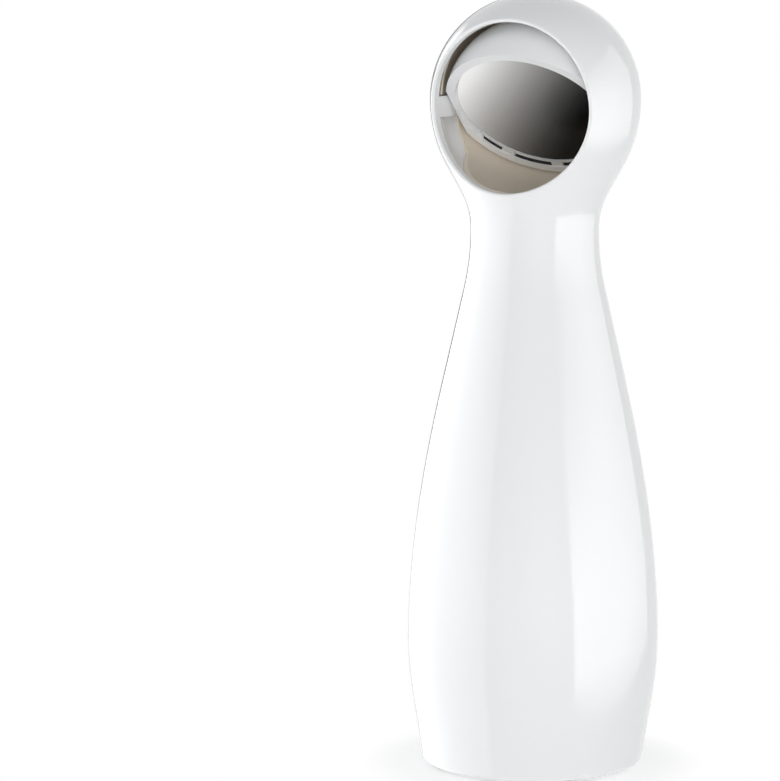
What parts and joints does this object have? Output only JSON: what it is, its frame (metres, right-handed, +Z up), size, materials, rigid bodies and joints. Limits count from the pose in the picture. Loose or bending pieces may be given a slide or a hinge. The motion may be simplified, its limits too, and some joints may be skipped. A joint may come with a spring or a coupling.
{
  "type": "automatic cat laser toy",
  "caption": "Glossy white skittle-shaped automatic cat laser toy with a round head, whose opening holds a tilting mirror above a battery-driven wandering laser.",
  "frame": {"origin": "On the floor under the middle of the round foot", "axes": "+Z up through the head, -Y towards the front, where the head's opening is, +X to the toy's right-hand side in a view from the front"},
  "size_m": [0.0704, 0.0704, 0.216],
  "materials": {
    "shell_abs": "high-gloss white ABS",
    "button_abs": "glossy pale grey ABS",
    "inner_abs": "matt white ABS",
    "bowl_abs": "satin warm grey ABS",
    "smoked_acrylic": "dark smoked acrylic",
    "feet_rubber": "matt dark rubber",
    "screw_steel": "zinc-plated steel",
    "contact_nickel": "nickel-plated spring steel",
    "cell_wrap": "plain shrink wrap on a battery cell",
    "board_green": "green solder mask on glass-fibre board",
    "black_plastic": "black moulded plastic",
    "capacitor_aluminium": "bare aluminium can",
    "motor_steel": "plated steel",
    "magnet_ferrite": "grey ferrite",
    "iron_core": "stacked iron sheets",
    "brass": "turned brass",
    "gear_acetal": "natural white acetal",
    "clear_acrylic": "clear polished acrylic",
    "felt": "dense grey felt",
    "mirror_glass": "back-silvered glass mirror"
  },
  "bodies": {
    "root": {"front_shell": "shell_abs", "rear_shell": "shell_abs", "case_screws": "screw_steel", "base_cover": "shell_abs", "base_screws": "screw_steel", "rubber_feet": "feet_rubber", "battery_box": "inner_abs", "screw_insert": "brass", "top_contacts": "contact_nickel", "top_springs": "contact_nickel", "battery_1": "cell_wrap", "battery_2": "cell_wrap", "battery_3": "cell_wrap", "battery_4": "cell_wrap", "control_board": "board_green", "switch_board": "board_green", "board_screws": "screw_steel", "board_chips": "black_plastic", "board_capacitors": "capacitor_aluminium", "board_sockets": "inner_abs", "tact_switch": "black_plastic", "motor_can": "motor_steel", "motor_end_cap": "black_plastic", "motor_magnets": "magnet_ferrite", "motor_strap": "inner_abs", "lower_gear_plate": "inner_abs", "upper_gear_plate": "inner_abs", "gear_screws": "screw_steel", "lens_bracket": "inner_abs", "head_bowl": "bowl_abs", "head_liner": "bowl_abs", "laser_window": "smoked_acrylic", "pivot_keys": "shell_abs"},
    "battery_door": {"battery_door": "shell_abs", "door_contacts": "contact_nickel", "door_springs": "contact_nickel", "door_clip": "screw_steel"},
    "door_screw": {"door_screw": "screw_steel"},
    "mirror": {"mirror_carrier": "shell_abs", "mirror_disc": "mirror_glass", "mirror_clip": "gear_acetal", "friction_washers": "felt"},
    "power_button": {"power_button": "button_abs", "switch_plunger": "black_plastic"},
    "countershaft": {"countershaft": "motor_steel", "cluster_gear": "gear_acetal", "lens_pinion": "gear_acetal"},
    "motor_rotor": {"motor_shaft": "motor_steel", "motor_armature": "iron_core", "motor_pinion": "brass"},
    "drum": {"drum_gear": "gear_acetal", "drum_clip": "screw_steel"},
    "laser": {"laser_barrel": "brass", "barrel_clip": "screw_steel", "laser_lens": "clear_acrylic", "laser_diode": "board_green"},
    "lens": {"lens_gear": "gear_acetal", "wedge_lens": "clear_acrylic", "lens_retainer": "gear_acetal"}
  },
  "joints": [
    {"name": "mirror_tilt", "type": "hinge", "parent": "root", "child": "mirror", "pos_m": [0, 0, 0.1846], "axis": [1, 0, 0], "range_deg": [-10, 30]},
    {"name": "button_press", "type": "slide", "parent": "root", "child": "power_button", "axis": [0, -1, 0], "range_m": [0, 0.0006], "stiffness_N_per_m": 800},
    {"name": "door_slide", "type": "slide", "parent": "root", "child": "battery_door", "axis": [0, 0, -1], "range_m": [0, 0.022]},
    {"name": "door_screw_turn", "type": "hinge", "parent": "battery_door", "child": "door_screw", "pos_m": [0, 0, 0.0016], "axis": [0, 0, 1], "continuous": true},
    {"name": "countershaft_spin", "type": "hinge", "parent": "root", "child": "countershaft", "pos_m": [0, -0.0125, 0.095], "axis": [0, 0, 1], "continuous": true},
    {"name": "motor_spin", "type": "hinge", "parent": "root", "child": "motor_rotor", "pos_m": [0, 0, 0.08], "axis": [0, 0, 1], "continuous": true},
    {"name": "drum_spin", "type": "hinge", "parent": "root", "child": "drum", "pos_m": [0, 0, 0.11], "axis": [0, 0, 1], "continuous": true},
    {"name": "barrel_roll", "type": "hinge", "parent": "drum", "child": "laser", "pos_m": [0, 0, 0.1007], "axis": [0.061, 0, 0.9981], "continuous": true},
    {"name": "lens_spin", "type": "hinge", "parent": "root", "child": "lens", "pos_m": [0, 0, 0.1357], "axis": [0, 0, 1], "continuous": true}
  ],
  "couplings": [
    {"joint": "motor_spin", "follows": "countershaft_spin", "ratio": -4},
    {"joint": "drum_spin", "follows": "countershaft_spin", "ratio": -0.31579},
    {"joint": "lens_spin", "follows": "countershaft_spin", "ratio": -0.25},
    {"joint": "barrel_roll", "follows": "countershaft_spin", "ratio": 0.31579}
  ]
}
